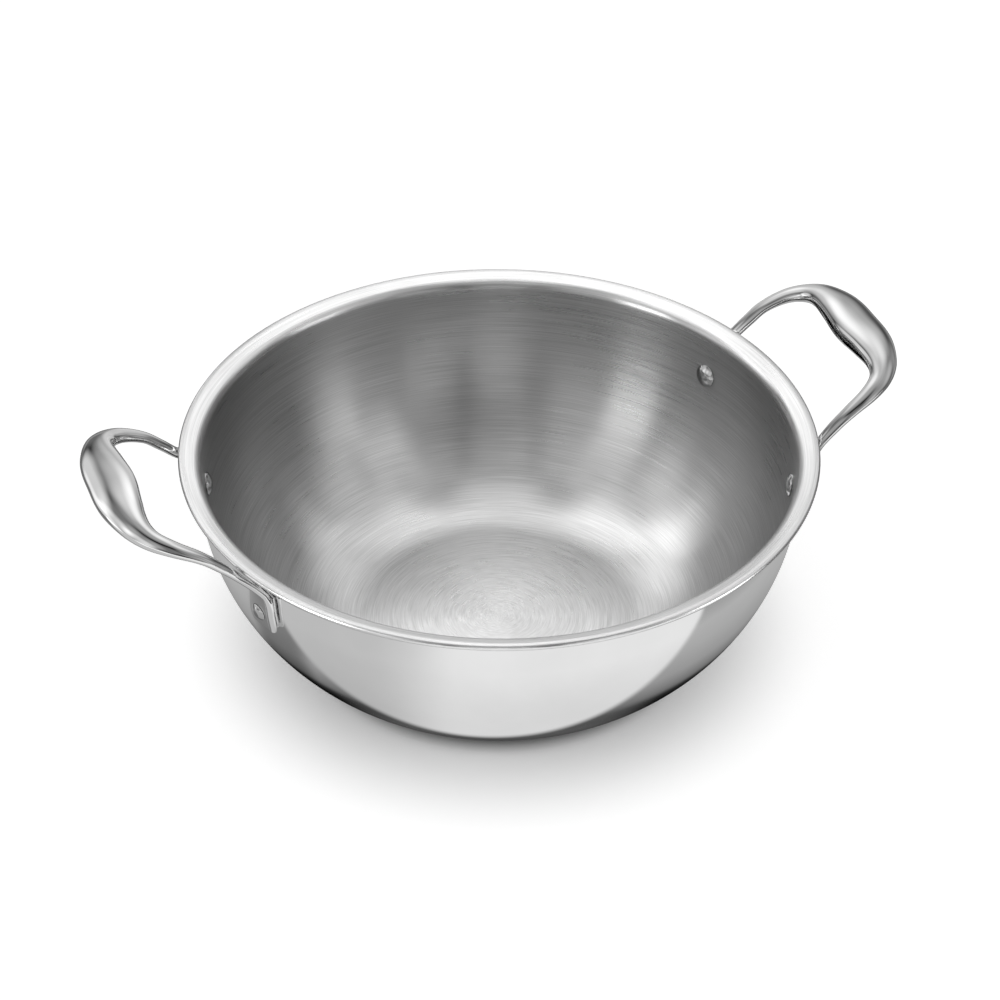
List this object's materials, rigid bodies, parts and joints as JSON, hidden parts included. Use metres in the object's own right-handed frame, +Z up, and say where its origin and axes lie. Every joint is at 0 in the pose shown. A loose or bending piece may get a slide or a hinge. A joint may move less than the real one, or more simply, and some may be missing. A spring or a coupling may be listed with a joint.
{
  "type": "kadai",
  "caption": "Deep round-sided cooking pan with a flared pouring lip, flat base and two riveted loop handles, all in stainless steel over a bonded core.",
  "frame": {"origin": "middle of the flat underside, where the pan rests", "axes": "+Z up out of the mouth; +X towards one handle and -X towards the other; -Y is the side that faces the viewer"},
  "size_m": [0.3774, 0.29, 0.1328],
  "materials": {
    "polished_steel": "mirror-polished stainless steel",
    "brushed_steel": "stainless steel with fine circular brushing",
    "aluminium_core": "bare machined edge, seen only round the lip",
    "rivet_steel": "satin stainless steel"
  },
  "bodies": {
    "root": {"outer_ply": "polished_steel", "core_ply": "aluminium_core", "inner_ply": "brushed_steel", "handle_right": "polished_steel", "handle_left": "polished_steel", "rivet_right_front": "rivet_steel", "rivet_right_rear": "rivet_steel", "rivet_left_front": "rivet_steel", "rivet_left_rear": "rivet_steel"}
  },
  "joints": []
}
